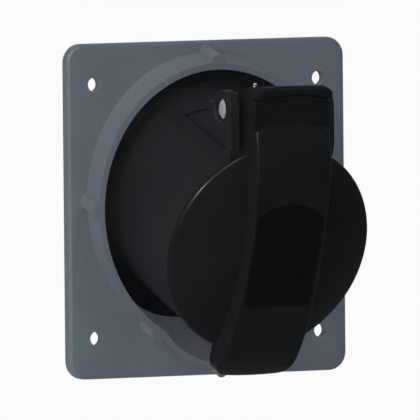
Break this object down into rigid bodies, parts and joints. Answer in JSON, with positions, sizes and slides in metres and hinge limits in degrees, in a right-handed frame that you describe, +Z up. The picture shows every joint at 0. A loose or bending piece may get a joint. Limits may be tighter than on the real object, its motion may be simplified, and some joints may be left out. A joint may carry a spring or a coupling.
{
  "type": "panel mount socket",
  "caption": "Square-flanged panel socket whose tilted round barrel, set in a ribbed collar, is closed by a sprung domed lid with a raised curved band and finger tongue.",
  "frame": {"origin": "centre of the four fixing holes on the plate's mounting face", "axes": "+Y into the panel, -Y out of its front, +Z up, +X to the right seen from the front"},
  "size_m": [0.1, 0.0959, 0.1074],
  "materials": {
    "grey_housing": "satin, moulded",
    "black_barrel": "satin, moulded",
    "black_lid": "smooth, moulded",
    "dark_panel": "smooth",
    "seal_rubber": "soft, matte",
    "black_insulator": "matte",
    "grey_insulator": "matte",
    "contact_brass": "machined",
    "spring_steel": "drawn wire",
    "bright_steel": "cut and polished",
    "screw_steel": "zinc plated"
  },
  "bodies": {
    "socket_body": {"flange_housing": "grey_housing", "panel_gasket": "seal_rubber", "barrel": "black_barrel", "barrel_foot": "black_barrel", "barrel_seal": "seal_rubber", "contact_carrier": "black_insulator", "contact_cover": "black_insulator", "terminal_block": "grey_insulator", "terminal_barrier": "grey_insulator", "hinge_pin": "bright_steel", "lid_spring": "spring_steel", "contact_sleeve_1": "contact_brass", "sleeve_ring_1": "spring_steel", "terminal_screw_1": "screw_steel", "contact_sleeve_2": "contact_brass", "sleeve_ring_2": "spring_steel", "terminal_screw_2": "screw_steel", "contact_sleeve_3": "contact_brass", "sleeve_ring_3": "spring_steel", "terminal_screw_3": "screw_steel", "contact_sleeve_earth": "contact_brass", "sleeve_ring_earth": "spring_steel", "terminal_screw_earth": "screw_steel", "block_screw_1": "screw_steel", "block_screw_2": "screw_steel"},
    "lid_body": {"lid": "black_lid", "label_plate": "dark_panel", "lid_seal": "seal_rubber"}
  },
  "joints": [
    {"name": "lid_hinge", "type": "hinge", "parent": "socket_body", "child": "lid_body", "pos_m": [0, -0.04741, 0.03347], "axis": [-1, 0, 0], "range_deg": [0, 130], "stiffness_Nm_per_rad": 0.03, "springref_deg": -51.57, "deforming": ["lid_spring"]}
  ]
}
